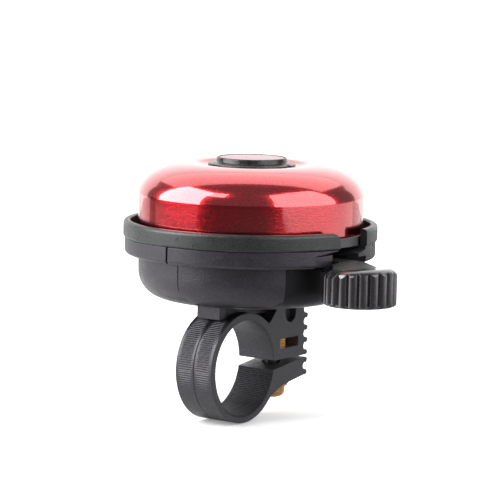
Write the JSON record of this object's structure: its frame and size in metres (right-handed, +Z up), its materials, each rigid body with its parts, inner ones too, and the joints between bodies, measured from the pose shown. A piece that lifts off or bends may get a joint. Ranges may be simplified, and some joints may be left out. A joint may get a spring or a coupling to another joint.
{
  "type": "bicycle bell",
  "caption": "Handlebar bicycle bell: red domed gong in an open guard ring over a plastic cup, rung by a ribbed thumb lever, on a split bar clamp",
  "frame": {"origin": "centre of the handlebar clamp's bore, halfway along its width", "axes": "+X along the handlebar toward the thumb lever's side, +Y toward the clamp's ears, +Z up along the bell's axis"},
  "size_m": [0.0751, 0.061, 0.0628],
  "materials": {
    "shell_plastic": "dark grey moulded plastic, fine grain",
    "cover_plastic": "dark grey moulded plastic, fine grain",
    "ring_plastic": "dark grey moulded plastic, satin",
    "plate_plastic": "mid grey moulded plastic",
    "screw_steel": "zinc plated",
    "pin_steel": "ground",
    "washer_black": "black fibre",
    "dome_red": "red anodised, polished",
    "cap_black": "gloss black",
    "badge_gloss": "blank gloss disc",
    "spring_steel": "drawn wire",
    "gear_plastic": "natural acetal",
    "striker_steel": "tumbled steel",
    "lever_plastic": "dark grey moulded plastic",
    "pad_plastic": "black, semi gloss, ribbed",
    "bracket_plastic": "dark grey moulded plastic, satin",
    "clamp_brass": "yellow zinc or brass"
  },
  "bodies": {
    "base": {"base_cup": "shell_plastic", "side_cover": "cover_plastic", "guard_ring": "ring_plastic", "bearing_plate": "plate_plastic", "plate_screws": "screw_steel", "bracket_screws": "screw_steel", "centre_post": "pin_steel", "dome_spacer": "pin_steel", "dome_washer": "washer_black", "bell_dome": "dome_red", "dome_cap": "cap_black", "cap_badge": "badge_gloss", "lever_pin": "pin_steel", "idler_pin": "pin_steel", "return_spring": "spring_steel", "clamp_bracket": "bracket_plastic", "clamp_nut": "clamp_brass"},
    "lever": {"thumb_lever": "lever_plastic", "thumb_pad": "pad_plastic"},
    "idler": {"idler_gear": "gear_plastic"},
    "rotor": {"striker_rotor": "gear_plastic", "striker_pins": "pin_steel"},
    "ring_a": {"striker_ring_a": "striker_steel"},
    "ring_b": {"striker_ring_b": "striker_steel"},
    "clamp_washer": {"screw_washer": "clamp_brass"},
    "clamp_screw": {"clamp_screw": "clamp_brass"}
  },
  "joints": [
    {"name": "lever_press", "type": "hinge", "parent": "base", "child": "lever", "pos_m": [0.0186, 0.0067, 0.02635], "axis": [0, 0, 1], "range_deg": [0, 28], "stiffness_Nm_per_rad": 0.08, "springref_deg": -20.05, "deforming": ["return_spring"]},
    {"name": "idler_turn", "type": "hinge", "parent": "base", "child": "idler", "pos_m": [0.00696, -0.00178, 0.02635], "axis": [0, 0, 1], "range_deg": [-98.5, 0.5]},
    {"name": "rotor_turn", "type": "hinge", "parent": "base", "child": "rotor", "pos_m": [0, 0.008, 0.03], "axis": [0, 0, 1], "range_deg": [-0.5, 196.5]},
    {"name": "ring_a_throw", "type": "slide", "parent": "rotor", "child": "ring_a", "axis": [0.8192, 0.5736, 0], "range_m": [-0.001, 0.00055]},
    {"name": "ring_b_throw", "type": "slide", "parent": "rotor", "child": "ring_b", "axis": [-0.8192, -0.5736, 0], "range_m": [-0.001, 0.00055]},
    {"name": "clamp_screw_travel", "type": "slide", "parent": "base", "child": "clamp_washer", "axis": [0, 0, -1], "range_m": [0, 0.0014]},
    {"name": "clamp_screw_turn", "type": "hinge", "parent": "clamp_washer", "child": "clamp_screw", "pos_m": [0, 0.01766, -0.008], "axis": [0, 0, -1], "range_deg": [-0.5, 720.5]}
  ],
  "couplings": [
    {"joint": "idler_turn", "follows": "lever_press", "ratio": -3.5},
    {"joint": "rotor_turn", "follows": "lever_press", "ratio": 7},
    {"joint": "clamp_screw_turn", "follows": "clamp_screw_travel", "rad_per_m": 8976}
  ]
}
